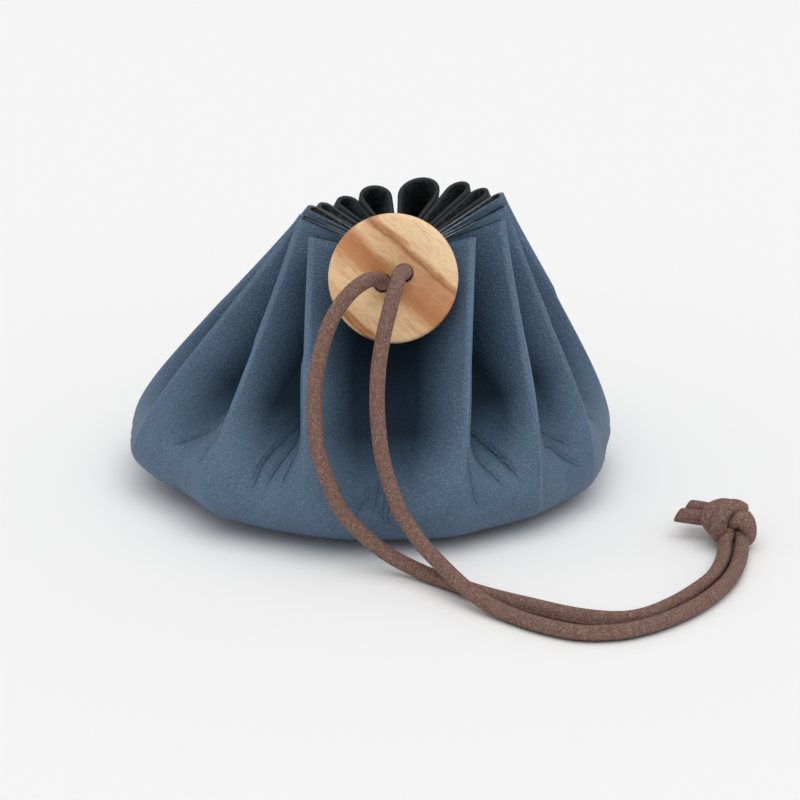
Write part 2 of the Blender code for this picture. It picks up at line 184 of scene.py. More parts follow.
def finish_surface(tree, shader, colour, height, strength, depth):
    """Links the colour, and the height as a bump of a strength and a depth."""
    tree.links.new(colour, shader.inputs["Base Color"])
    bump = add_node(tree, "Bump", {"Height": height, "Strength": strength, "Distance": depth})
    tree.links.new(bump.outputs["Normal"], shader.inputs["Normal"])


# %% [markdown]
# ## Braided cotton cord
#
# The cord is waxed cotton, plaited from fine strands. Each strand shows as a short slanted stitch a
# little over half a millimetre long, painted pale where it crests and dark in the pits between: a
# painted highlight and painted shade from the height of the strands. The cord carries its own map:
# one unit is one stitch, and the two map directions run along the two families of strands. A checker
# says which family lies on top, two waves round the strands off, and every stitch gets its own shade
# because the wax takes the dye unevenly. Where two turns press together, a short-ranged ambient
# occlusion finds the seam between them and darkens the colour there as painted shade.

# %% The cord's material
CORD = 2.8 * MM
STITCHES_ROUND = 15
STITCH = math.pi * CORD / STITCHES_ROUND
SEAM_SHADE_REACH = 1.1 * MM


def braided_cotton():
    finish, tree, shader = new_material("waxed_braided_cotton", Roughness=0.75, Specular_IOR_Level=0.3)
    stitches = add_node(tree, "UVMap", uv_map="braid").outputs["UV"]
    along, across = (
        add_node(tree, "TexWave", {"Vector": stitches, "Scale": math.pi / 10, "Distortion": 0.35,
                                   "Detail": 1.0, "Detail Scale": 2.5},
                 bands_direction=direction, wave_profile="SIN").outputs["Fac"]
        for direction in ("X", "Y")
    )
    top = add_node(tree, "TexChecker", {"Vector": stitches, "Scale": 1.0}).outputs["Fac"]
    strand = add_node(tree, "Mix", {"Factor": top, "A": along, "B": across}).outputs["Result"]
    other = add_node(tree, "Mix", {"Factor": top, "A": across, "B": along}).outputs["Result"]
    pillow = times(tree, strand, maths(tree, "MULTIPLY_ADD", other, 0.6, 0.4))
    cell = vector_maths(tree, "FLOOR", stitches)
    own = add_node(tree, "TexWhiteNoise", {"Vector": cell}, noise_dimensions="2D").outputs["Value"]
    fibres = cloudy(tree, object_place(tree), 3200, 3.0)
    # Painted highlight and painted shade: the strands' height (pillow) also makes the crests paler and
    # the pits darker in the colour.
    shade = maths(tree, "MULTIPLY_ADD", own, 0.22, times(tree, pillow, 0.34))
    shade = maths(tree, "MULTIPLY_ADD", fibres, 0.85, shade)
    colour = ramp(tree, shade, (0.34, "#5A4239"), (1.0, "#B39588"), (0.62, "#7B5D53"), (0.86, "#8E7065"))
    # Painted shade: the colour is darkened towards #241713 where a short-ranged ambient occlusion finds
    # the seams between turns.
    seam_occlusion = add_node(tree, "AmbientOcclusion", {"Distance": SEAM_SHADE_REACH}, samples=6).outputs["AO"]
    seam_shaded = blended(tree, ranged(tree, seam_occlusion, 0.30, 0.80, 0.85, 0.0), colour, "#241713")
    finish_surface(tree, shader, seam_shaded, pillow, 0.6, 0.2 * MM)
    return finish


cotton = braided_cotton()
print("stitch", round(STITCH / MM, 2), "mm")

# %% [markdown]
# ## The neck, and the cord round it
#
# The cord's route has to fit the solids, so the neck's shape comes first: above the belly the
# leather leans a little to the right and its rim rises on that side. Lower down its left side hangs
# out a little, and its foot is drawn in to the right. The stopper's axis points forward and up from
# the middle of the neck, and its two holes lie on a slanted line.

# %% The neck's shape
BELLY_RADIUS = 46.6 * MM
BELLY_HEIGHT = 8.5 * MM
RIM_RADIUS = 19.9 * MM
RIM_HEIGHT = 52.9 * MM
LEAN = 6.3 * MM
RIM_TILT = 0.05
SLUMP = 1.0 * MM
FOOT_SHIFT = 2.2 * MM


def slump(point):
    """The left side hangs out further than the right, and the foot is drawn in to the right."""
    rise = max(0.0, (point[2] - BELLY_HEIGHT) / (RIM_HEIGHT - BELLY_HEIGHT))
    out = SLUMP * (min(0.0, point[0]) / BELLY_RADIUS)**2 * (1 - rise) * (1 + 4 * rise)
    tuck = FOOT_SHIFT * max(0.0, 1 - point[2] / BELLY_HEIGHT)
    return (point[0] - out + tuck, point[1], point[2])


def lean(point):
    """Above the belly the neck is pulled a little to +X and its rim is tilted."""
    rise = max(0.0, (point[2] - BELLY_HEIGHT) / (RIM_HEIGHT - BELLY_HEIGHT))
    return Vector((point[0] + LEAN * rise, point[1], point[2] + RIM_TILT * point[0] * rise))


def toward(azimuth):
    """The level direction at an azimuth in degrees from the front."""
    turn = math.radians(azimuth)
    return Vector((math.sin(turn), -math.cos(turn)))


# %% The stopper's axis and holes
BUTTON_DROP = 14.4 * MM
BUTTON_TILT = math.radians(20)
HOLE_PITCH = 4.4 * MM
HOLE_TURN = math.radians(25)
button_start = lean((0, 0, RIM_HEIGHT - BUTTON_DROP))
button_axis = Vector((0, -math.cos(BUTTON_TILT), math.sin(BUTTON_TILT)))
button_side = Vector((1, 0, 0))
button_up = button_axis.cross(button_side)
low, high = (Vector(corner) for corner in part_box("wood_button"))
button_middle = (low + high) / 2
hole_way = button_side * math.cos(HOLE_TURN) + button_up * math.sin(HOLE_TURN)
right_hole = hole_way * (HOLE_PITCH / 2)
print("stopper's middle", [round(c / MM, 1) for c in button_middle])

# %% [markdown]
# ## Cords as swept tubes
#
# A round cord is one ring of points carried along its route. Each ring is turned with the route but
# never twisted about it, so the braid runs straight. The route is a smooth curve through a few
# listed points, because a cord lies where it was dropped and no formula gives that.

# %% Sweep a cord along its route
RING = 32
UNEVEN = 0.012
UNEVEN_SCALE = 900
END_BULGE = 0.25 * MM
END_WIDTH = 0.84
END_DOME = 1.15
SLANT_REACH = 1.6


def length_of(route):
    return sum((q - p).length for p, q in zip(route, route[1:]))


def rounded_route(points, step):
    """Points a step apart on a smooth curve through the given ones."""
    ends = [points[0] * 2 - points[1]] + points + [points[-1] * 2 - points[-2]]
    fine = []
    for a, b, c, d in zip(ends, ends[1:], ends[2:], ends[3:]):
        for i in range(12):
            t = i / 12
            fine.append((b * 2 + (c - a) * t + (a * 2 - b * 5 + c * 4 - d) * t * t
                         + (b * 3 - a - c * 3 + d) * t**3) / 2)
    fine.append(points[-1])
    total = length_of(fine)
    count = max(2, round(total / step))
    route, travelled, index = [fine[0]], 0.0, 0
    for i in range(1, count):
        goal = total * i / count
        while travelled + (fine[index + 1] - fine[index]).length < goal:
            travelled += (fine[index + 1] - fine[index]).length
            index += 1
        run = (fine[index + 1] - fine[index]).length
        route.append(fine[index].lerp(fine[index + 1], (goal - travelled) / run))
    return route + [fine[-1]]


def ring_frames(route):
    """The two directions across the route at each of its points, carried along without twist."""
    ways = [(b - a).normalized() for a, b in zip(route, route[1:])]
    ways = [ways[0]] + [(a + b).normalized() for a, b in zip(ways, ways[1:])] + [ways[-1]]
    side = ways[0].orthogonal().normalized()
    frames = []
    for way in ways:
        side = (side - way * side.dot(way)).normalized()
        frames.append((side, way.cross(side)))
    return frames


def sweep(shape, route, radius, flatten=1.0, out=None, slant=0.0):
    """Adds one closed tube to a bmesh, with its stitches counted in the braid map.

    Where out is given, the tube is flattened against those directions. A slant cuts its end askew.
    """
    braid = shape.loops.layers.uv.get("braid") or shape.loops.layers.uv.new("braid")
    rings, along = [], [0.0]
    for a, b in zip(route, route[1:]):
        along.append(along[-1] + (b - a).length / STITCH)
    for i, (place, (side, across)) in enumerate(zip(route, ring_frames(route))):
        if out is not None:
            way = side.cross(across)
            across = (out[i] - way * out[i].dot(way)).normalized()
            side = across.cross(way)
        ring = []
        for j in range(RING):
            turn = 2 * math.pi * j / RING
            reach = radius * (1 + UNEVEN * noise.noise(place * UNEVEN_SCALE + Vector((j, 0, 0))))
            offset = side * math.cos(turn) * flatten + across * math.sin(turn) / flatten
            ring.append(shape.verts.new(place + offset * reach))
        rings.append(ring)
    for i, (one, two) in enumerate(zip(rings, rings[1:])):
        for j in range(RING):
            k = (j + 1) % RING
            face = shape.faces.new((one[j], one[k], two[k], two[j]))
            face.smooth = True
            for loop, (u, v) in zip(face.loops, ((j, i), (j + 1, i), (j + 1, i + 1), (j, i + 1))):
                turn = u * STITCHES_ROUND / RING
                loop[braid].uv = (turn + along[v], turn - along[v])
    for ring, place, inward in ((rings[0], route[0], route[1]), (rings[-1], route[-1], route[-2])):
        close_end(shape, ring, place, (place - inward).normalized() * END_BULGE)
    if slant:
        end_way = (route[-1] - route[-2]).normalized()
        for vert in shape.verts:
            share = 1 + (vert.co - route[-1]).dot(end_way) / (radius * SLANT_REACH)
            share = min(1.0, max(0.0, share))
            vert.co += end_way * (vert.co.z - route[-1].z) * slant * share
    bmesh.ops.recalc_face_normals(shape, faces=shape.faces)


def close_end(shape, ring, place, bulge):
    """A cut end: the rim is eased, and the middle is a slightly domed fan."""
    inner = [shape.verts.new(place + (v.co - place) * END_WIDTH + bulge) for v in ring]
    middle = shape.verts.new(place + bulge * END_DOME)
    for j in range(len(ring)):
        k = (j + 1) % len(ring)
        shape.faces.new((ring[j], ring[k], inner[k], inner[j])).smooth = True
        shape.faces.new((inner[j], inner[k], middle)).smooth = True


def finish_piece(name, shape, *finishes):
    """A named object from a bmesh, in its place, with its materials."""
    mesh = bpy.data.meshes.new(name)
    shape.to_mesh(mesh)
    shape.free()
    for finish in finishes:
        mesh.materials.append(finish)
    piece = bpy.data.objects.new(name, mesh)
    bpy.context.scene.collection.objects.link(piece)
    return piece


def only(piece):
    """Selects one piece and makes it the active one."""
    for other in bpy.context.selected_objects:
        other.select_set(False)
    piece.select_set(True)
    bpy.context.view_layer.objects.active = piece


# %% [markdown]
# ## The two loose strands
#
# Each strand comes straight out of its hole, bends down over a few millimetres, hangs in front of
# the pouch, and then lies on the table in a wide curve to the knot. The right strand passes over the
# left one where they cross. Both are the ends of the one cord, so the whole of it is on view and
# nothing is coiled away.

# %% Their routes in millimetres
THREAD_RADIUS = 11.5 * MM
START_REACH = THREAD_RADIUS * 1.28
BUTTON_TRAVEL = 5.0 * MM
BUTTON_THICKNESS = 4.5 * MM
LEFT_ROUTE = (
    (1.3, -33.2, 49.9), (-0.4, -35.6, 50.4), (-2.7, -37.8, 49.5),
    (-4.7, -39.4, 47.7), (-6.3, -40.6, 45.5), (-7.6, -41.8, 42.7),
    (-9.0, -43.4, 37.8), (-9.8, -45.0, 32.2), (-9.7, -46.4, 25.8),
    (-8.9, -47.6, 20.9), (-5.9, -49.2, 13.0), (-3.3, -50.0, 9.3),
    (-0.1, -50.8, 6.3), (3.7, -51.8, 3.6), (8.2, -54.0, 2.0),
    (12.6, -57.4, 1.5), (20.3, -63.9, 1.5), (29.1, -69.3, 1.5),
    (36.2, -73.1, 1.5), (42.8, -74.6, 1.5), (47.8, -73.1, 1.5),
    (53.0, -68.5, 1.5), (57.4, -63.0, 1.5), (61.2, -57.0, 1.5),
    (63.5, -50.8, 1.5), (64.5, -46.5, 1.5), (65.0, -43.5, 1.8),
    (65.4, -41.9, 2.8), (66.0, -40.5, 3.8), (66.3, -39.2, 4.4),
)
RIGHT_ROUTE = (
    (5.3, -33.4, 50.6), (5.0, -36.2, 50.0), (4.2, -38.6, 48.1),
    (3.4, -40.4, 45.3), (2.6, -41.8, 42.2), (1.7, -43.6, 36.9),
    (1.4, -45.3, 31.4), (1.7, -47.0, 25.8), (2.6, -49.0, 20.2),
    (5.1, -52.0, 13.2), (7.3, -53.8, 10.0), (9.9, -56.2, 7.1),
    (12.4, -59.0, 5.4), (14.9, -62.6, 4.2), (17.5, -66.0, 3.1),
    (20.6, -69.3, 2.1), (25.1, -73.3, 1.5), (30.4, -77.5, 1.5),
    (36.2, -80.2, 1.5), (42.1, -80.1, 1.5), (46.9, -78.2, 1.5),
    (51.8, -74.7, 1.5), (57.0, -69.4, 1.5), (61.5, -63.0, 1.5),
    (64.8, -56.3, 1.5), (66.7, -50.1, 1.5), (67.7, -45.5, 1.6),
    (68.1, -42.1, 2.3), (68.0, -40.8, 3.2), (67.6, -39.6, 3.7),
)


def placed(points):
    """Points in millimetres as places."""
    return [Vector(p) * MM for p in points]


def strand_route(hole, points):
    """Straight through the stopper and past its travel, then along the points."""
    behind = button_start + hole + button_axis * START_REACH
    front = button_middle + hole + button_axis * (BUTTON_THICKNESS / 2 + BUTTON_TRAVEL)
    straight = [behind.lerp(front, i / 4) for i in range(5)]
    return rounded_route(straight + placed(points), CORD / 8)


# %% Make the strands
for name, node, hole, points in (("cord_strand_left", "strand_left", -right_hole, LEFT_ROUTE),
                                 ("cord_strand_right", "strand_right", right_hole, RIGHT_ROUTE)):
    route = strand_route(hole, points)
    shape = bmesh.new()
    sweep(shape, route, CORD / 2)
    piece = finish_piece(name, shape, cotton)
    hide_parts(node)
    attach(piece, "pouch")
    print(name, round(length_of(route) / MM), "mm")

# %% [markdown]
# ## The cord inside the neck
#
# Between the two holes the same cord runs round the neck and pierces every fold. It is seen from
# above and from behind, in the gaps between the folds.

# %% The loop round the neck
THREAD_DROP = 9.9 * MM
THREAD_RIGHT_END = 50
THREAD_LEFT_END = 58
TURN_IN = 0.86


def thread_route():
    """From behind the right hole round the neck to behind the left one."""
    back = button_axis * START_REACH
    ring = []
    first, last = THREAD_RIGHT_END, 360 - THREAD_LEFT_END
    for i in range(17):
        way = toward(first + (last - first) * i / 16) * THREAD_RADIUS
        ring.append(lean((way.x, way.y, RIM_HEIGHT - THREAD_DROP)))
    starts = [button_start + right_hole + back * share for share in (1, TURN_IN)]
    ends = [button_start - right_hole + back * share for share in (TURN_IN, 1)]
    return rounded_route(starts + ring + ends, CORD / 8)


shape = bmesh.new()
sweep(shape, thread_route(), CORD / 2)
neck_cord = finish_piece("cord_round_neck", shape, cotton)
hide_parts("neck_loop")
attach(neck_cord, "pouch")

# %% [markdown]
# ## The knot
#
# Both strands are tied together in one overhand knot. Pulled tight, the turns flatten into broad
# bands: two cords side by side pass over the top and down the left, and another wraps the right side.
# Two more fill the middle, and the last three lead round the back into the tails. Each turn is its
# own swept tube with the width that it is flattened to against the middle of the knot, which is how
# real turns press into each other. The two cut tails come out at the left, and their ends are slanted.

# %% Tie the knot
KNOT_MIDDLE = Vector((66.2, -38.6, 4.4)) * MM
TURN_THICKNESS = 3.3 * MM
KNOT_TURNS = (
    (1.00, ((66.5, -37.3, 7.0), (65.0, -37.9, 7.4), (63.6, -38.4, 7.2), (62.6, -38.9, 6.5),
            (62.4, -39.2, 5.6), (63.0, -39.4, 4.5), (63.8, -39.3, 3.6), (64.5, -38.8, 2.6))),
    (1.06, ((68.7, -38.4, 6.8), (67.3, -38.7, 7.6), (65.7, -39.3, 7.7), (64.7, -40.1, 7.1),
            (64.1, -40.7, 6.0), (63.9, -41.0, 4.8), (64.1, -40.6, 3.5), (64.4, -39.7, 2.7))),
    (1.25, ((65.8, -39.1, 5.4), (67.0, -40.1, 6.0), (68.1, -40.7, 6.2), (69.1, -40.8, 5.5),
            (69.6, -40.4, 4.0), (69.7, -40.2, 2.7), (69.4, -40.0, 2.0), (68.6, -39.1, 1.7))),
    (1.00, ((68.3, -39.2, 3.3), (67.1, -39.0, 4.5), (65.5, -38.6, 5.0), (63.7, -38.0, 5.5))),
    (1.00, ((68.7, -37.5, 5.7), (68.9, -37.4, 4.2), (67.5, -37.8, 2.4), (65.5, -38.1, 2.2),
            (63.7, -37.7, 3.4), (63.3, -37.2, 5.2), (65.1, -36.7, 6.2), (67.3, -36.7, 6.2),
            (68.6, -37.2, 5.4))),
    (1.00, ((68.9, -39.0, 3.4), (69.2, -36.6, 3.6), (68.3, -34.4, 3.7), (66.4, -33.1, 3.8),
            (64.6, -33.3, 3.9), (63.4, -34.8, 4.0))),
    (1.00, ((67.6, -37.2, 5.4), (67.7, -34.7, 5.2), (66.4, -32.6, 4.7), (64.6, -31.5, 4.2),
            (63.6, -31.2, 4.1))),
    (1.00, ((66.2, -37.0, 5.6), (64.8, -35.6, 5.0), (63.4, -34.8, 4.0))),
)
FRONT_TAIL = ((63.4, -35.0, 3.8), (60.0, -34.6, 4.1), (57.3, -34.3, 4.4))
BACK_TAIL = ((63.8, -31.2, 4.0), (61.6, -30.9, 4.3), (59.4, -30.6, 4.5))
TAIL_SLANT = -0.45

shape = bmesh.new()
for width, points in KNOT_TURNS:
    route = rounded_route(placed(points), CORD / 10)
    outward = [p - KNOT_MIDDLE for p in route]
    sweep(shape, route, TURN_THICKNESS / 2, flatten=width, out=outward)
knot = finish_piece("cord_knot", shape, cotton)
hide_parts("end_knot")
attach(knot, "pouch")

for name, node, points in (("cord_tail_front", "tail_front", FRONT_TAIL),
                           ("cord_tail_back", "tail_back", BACK_TAIL)):
    shape = bmesh.new()
    sweep(shape, rounded_route(placed(points), CORD / 10), CORD / 2, slant=TAIL_SLANT)
    tail = finish_piece(name, shape, cotton)
    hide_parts(node)
    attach(tail, "pouch")

# %% [markdown]
# ## The gathered leather
#
# The leather was a flat disc. Gathered at the neck, it stands in fourteen outward folds that fade
# into a full round belly. A cloth simulation of such tight pleats would need a very fine mesh and
# would not put each fold where this pouch has it, so the folds are drawn instead: every row of the
# mesh is one closed line round the pouch, made of arcs at the folds and at the valleys between them
# and straight walls that join the arcs. It is the same construction as in the solid, divided finely
# enough to carry the small creases. Three of the folds stay sharp down to the base.

# %% Where the folds are
LEATHER = 0.8 * MM
FLOOR_RADIUS = 31.0 * MM
EDGE_FALL = 5.5 * MM
MOUTH_RADIUS = 8.0 * MM
SCALLOP = 1.2 * MM
HOLLOW_RADIUS = BELLY_RADIUS - SCALLOP
RIGHT_TIPS = (41, 70, 100, 110, 128, 144, 169)
LEFT_TIPS = (61, 88, 98, 113, 126, 143, 161)
RIGHT_FEET = (20.5, 42.5, 64, 93, 120, 145, 170)
LEFT_FEET = (15.5, 40, 74, 99, 123, 147, 171)
LOW_RIDGES = (1, 2, 11)
DEEPER_HOLLOWS = {10: -0.8 * MM, 11: 1.4 * MM}
RIGHT_LOOPS = (0.6, 0.6, 0.6, 1.2, 1.8, 2.1, 3.7)
LEFT_LOOPS = (0.6, 0.6, 0.6, 1.3, 1.4, 2.0, 2.9)
RIGHT_LIFTS = (-1.2, -0.5, -0.7, 0.8, 0.3, 0.7, 1.0)
LEFT_LIFTS = (-1.2, 0.0, -0.5, -0.3, -1.0, -1.1, 0.0)
CREASE_RADIUS = 0.55 * MM
FOOT_RADIUS = 9.0 * MM
LOW_RIDGE_BEND = 0.3
LOW_RIDGE_CORNER = 1.25
SOFT_CORNER = 1.9
VALLEY_RADIUS = 7.0 * MM
FRONT_VALLEY_RADIUS = 3.0 * MM
FOLD_CLEARANCE = 0.3 * MM
TIP_STEPS = 7
WALL_STEPS = 9
VALLEY_STEPS = 5
HALF_STEPS = TIP_STEPS + WALL_STEPS + VALLEY_STEPS
# The parts of the slope, from 0 at the belly to 1 at the rim, over which the pleats change.
GATHERING = (0.0, 0.3)
SHARPENING = (0.0, 0.35)
LEANING = (0.2, 1.0)
VALLEYS_CLOSING = (0.3, 0.9)
LOOPS_OPENING = (0.55, 1.0)


def smooth(low, high, value):
    """Rises smoothly from 0 at low to 1 at high."""
    share = min(max((value - low) / (high - low), 0.0), 1.0)
    return share * share * (3 - 2 * share)


def bezier(points, t):
    """A point on the cubic curve through the first and last of four points."""
    a, b, c, d = (Vector(p) for p in points)
    s = 1 - t
    return a * s**3 + b * 3 * s * s * t + c * 3 * s * t * t + d * t**3


def pleats():
    """Every pleat in order round the pouch: its tip and foot azimuth, loop radius and lift."""
    right = list(zip(RIGHT_TIPS, RIGHT_FEET, RIGHT_LOOPS, RIGHT_LIFTS))
    left = [(360 - tip, 360 - foot, loop, lift)
            for tip, foot, loop, lift in zip(LEFT_TIPS, LEFT_FEET, LEFT_LOOPS, LEFT_LIFTS)]
    return [(tip, foot, loop * MM, lift * MM) for tip, foot, loop, lift in right + left[::-1]]


def between(angles, index):
    """The azimuth halfway between a fold and the next one round."""
    following = angles[(index + 1) % len(angles)]
    if index + 1 == len(angles):
        following += 360
    return (angles[index] + following) / 2


def valleys():
    """The tip and foot azimuth of the valley after each pleat; at the neck they are spread evenly."""
    tips, feet, _, _ = zip(*pleats())
    count = len(tips)
    side = count // 2
    tops = [between(tips, i) for i in range(count)]
    even = list(tops)
    for start, end in ((0, side - 1), (side - 1, count - 2)):
        for i in range(start, end + 1):
            even[i] = tops[start] + (tops[end] - tops[start]) * (i - start) / (end - start)
    return [((tops[i] + even[i]) / 2, between(feet, i)) for i in range(count)]


FOLDS = pleats()
HOLLOWS = valleys()
print(len(FOLDS), "folds")

# %% [markdown]
# Two profile lines climb the slope: one along the outer edges of the folds, and one along the
# valleys, which run in to the mouth. Both are single curves from the belly to the rim.

# %% The profile lines
def ridge_line(t):
    """Radius and height of the folds' outer edges on the slope, from the belly to the rim."""
    return bezier((
        (BELLY_RADIUS, BELLY_HEIGHT),
        (BELLY_RADIUS * 0.99, BELLY_HEIGHT + RIM_HEIGHT * 0.17),
        (RIM_RADIUS * 1.34, RIM_HEIGHT * 0.79),
        (RIM_RADIUS, RIM_HEIGHT),
    ), t)


def valley_line(t):
    """Radius and height of the valleys between them, which run in to the mouth."""
    return bezier((
        (HOLLOW_RADIUS, BELLY_HEIGHT),
        (BELLY_RADIUS * 0.94, BELLY_HEIGHT + RIM_HEIGHT * 0.26),
        (MOUTH_RADIUS, RIM_HEIGHT * 0.46),
        (MOUTH_RADIUS, RIM_HEIGHT - EDGE_FALL),
    ), t)


# %% Half a pleat in plan
def turned(vector, angle):
    return Matrix.Rotation(angle, 2) @ vector


def wall_path(tip, tip_way, tip_bend, valley, valley_way, valley_bend, side):
    """Round the tip, straight along the wall and round the valley."""
    while True:
        tip_centre = tip - tip_way * tip_bend
        valley_centre = valley + valley_way * valley_bend
        across = valley_centre - tip_centre
        if across.length > (tip_bend + valley_bend) * 1.02:
            break
        tip_bend *= 0.99
        valley_bend *= 0.99
    lead = math.acos((tip_bend + valley_bend) / across.length)
    touch = turned(across.normalized(), side * lead)
    tip_arc = tip_way.angle_signed(touch)
    valley_arc = (-touch).angle_signed(-valley_way)
    path = [tip_centre + turned(tip_way, -tip_arc * i / TIP_STEPS) * tip_bend
            for i in range(TIP_STEPS + 1)]
    far = valley_centre - touch * valley_bend
    path += [path[-1].lerp(far, i / WALL_STEPS) for i in range(1, WALL_STEPS)]
    for i in range(VALLEY_STEPS + 1):
        path.append(valley_centre + turned(-touch, -valley_arc * i / VALLEY_STEPS) * valley_bend)
    return path


def scallop_path(tip, valley, softness):
    """Half a pleat low down, where only a soft corner is left of the fold."""
    sweep_angle = tip.angle_signed(valley)
    path = []
    for i in range(HALF_STEPS + 1):
        share = i / HALF_STEPS
        dip = 1 - (1 - share) ** softness
        radius = tip.length + (valley.length - tip.length) * dip
        path.append(turned(tip.normalized(), -sweep_angle * share) * radius)
    return path


# %% [markdown]
# One row is a closed line at a share t of the way up the slope, or below it where t isn't above zero.
# Beside each point the row keeps two numbers for later: how close the point is to the crest of its
# fold, and which fold it belongs to. The creases, the colour and the cut edge are drawn from them.

# %% One row of the leather
def leather_row(tip_radius, tip_height, valley_radius, valley_height, t):
    """The points of one row, each with its nearness to a crest and the number of its fold."""
    gathered = smooth(*GATHERING, t)
    tip_share = valley_share = 0.0
    foot_scale = min(1.0, tip_radius / BELLY_RADIUS)
    hollow_scale = valley_radius / HOLLOW_RADIUS
    if t > 0:
        tip_share = max(0.0, (BELLY_RADIUS - tip_radius) / (BELLY_RADIUS - RIM_RADIUS))
        valley_share = max(0.0, (HOLLOW_RADIUS - valley_radius) / (HOLLOW_RADIUS - MOUTH_RADIUS))
        foot_scale = hollow_scale = 1.0
    tips = [(toward(foot) * BELLY_RADIUS * foot_scale).lerp(toward(top) * RIM_RADIUS, tip_share)
            for top, foot, _, _ in FOLDS]
    dips = [(toward(foot) * HOLLOW_RADIUS * hollow_scale).lerp(toward(top) * MOUTH_RADIUS, valley_share)
            for top, foot in HOLLOWS]
    depth_share = (1 - gathered) * min(1.0, valley_radius / BELLY_RADIUS)
    for i, extra in DEEPER_HOLLOWS.items():
        dips[i] -= dips[i].normalized() * extra * depth_share
    points = []
    for i, (_, _, loop, lift) in enumerate(FOLDS):
        fold_height = tip_height + lift * max(0.0, t) ** 2
        tip = tips[i]
        before, after = dips[i - 1], dips[i]
        foot_bend = FOOT_RADIUS * (LOW_RIDGE_BEND if i in LOW_RIDGES else 1.0)
        corner = LOW_RIDGE_CORNER if i in LOW_RIDGES else SOFT_CORNER
        crease = CREASE_RADIUS + (foot_bend - CREASE_RADIUS) * (1 - smooth(*SHARPENING, t))
        tip_bend = crease + (loop - CREASE_RADIUS) * smooth(*LOOPS_OPENING, t)
        radial = tip.normalized()
        outward = (tip - (before + after) / 2).normalized()
        axis = radial.lerp(outward, smooth(*LEANING, t)).normalized()
        halves = []
        for valley, side, index in ((before, 1, i - 1), (after, -1, i)):
            tight = (FRONT_VALLEY_RADIUS if index % len(FOLDS) == len(FOLDS) - 1
                     else (LEATHER + FOLD_CLEARANCE) / 2)
            valley_bend = tight + (VALLEY_RADIUS - tight) * (1 - smooth(*VALLEYS_CLOSING, t))
            folded = wall_path(tip, axis, tip_bend, valley, valley.normalized(), valley_bend, side)
            faded = scallop_path(tip, valley, corner)
            halves.append([low.lerp(high, gathered) for low, high in zip(faded, folded)])
        outline = [(p, 1 - n / HALF_STEPS) for n, p in enumerate(halves[0])][:0:-1]
        outline += [(p, 1 - n / HALF_STEPS) for n, p in enumerate(halves[1])][:-1]
        for flat, crest in outline:
            reach = max(tip_radius - valley_radius, LEATHER)
            share = min(max((flat.length - valley_radius) / reach, 0.0), 1.0)
            height = valley_height + (fold_height - valley_height) * share
            points.append((Vector((flat.x, flat.y, height)), crest, i))
    return points


# %% All rows
FLOOR_ROWS = (0.1, 0.5, 1.0)
BELLY_STEPS = 22
FOOT_STEPS = 34
FOOT_TOP = 0.42
NECK_STEPS = 16


def leather_rows():
    """All rows from the flat base, round the belly and up the slope, each with its t."""
    middle = LEATHER / 2
    rows = [(leather_row(FLOOR_RADIUS * share, middle, FLOOR_RADIUS * share, middle, 0.0), share - 2)
            for share in FLOOR_ROWS]
    for i in range(1, BELLY_STEPS + 1):
        share = i / BELLY_STEPS
        turn = share * math.pi / 2
        radius = FLOOR_RADIUS + (BELLY_RADIUS - FLOOR_RADIUS) * math.sin(turn)
        height = middle + (BELLY_HEIGHT - middle) * (1 - math.cos(turn))
        rows.append((leather_row(radius, height, radius - SCALLOP * share, height, 0.0), share - 1))
    slope = [FOOT_TOP * i / FOOT_STEPS for i in range(1, FOOT_STEPS + 1)]
    slope += [FOOT_TOP + (1 - FOOT_TOP) * i / NECK_STEPS for i in range(1, NECK_STEPS + 1)]
    rows += [(leather_row(*ridge_line(t), *valley_line(t), t), t) for t in slope]
    return rows


# %% [markdown]
# ## Creases
#
# Where a fold's foot meets the belly, the leather is pushed together and keeps sharp little creases
# that fan out from the bottom of each valley. The strong ones are drawn as strokes on the surface,
# each from one azimuth and height to the next. A crease is narrower than a face of the mesh, so each
# point also keeps its signed distance from the nearest strokes. The distance runs evenly across the
# faces, and the material draws the sharp line from it, as a bump and as painted shade in the colour.
# Three such distances are kept, so that strokes which lie close together don't disturb each other.

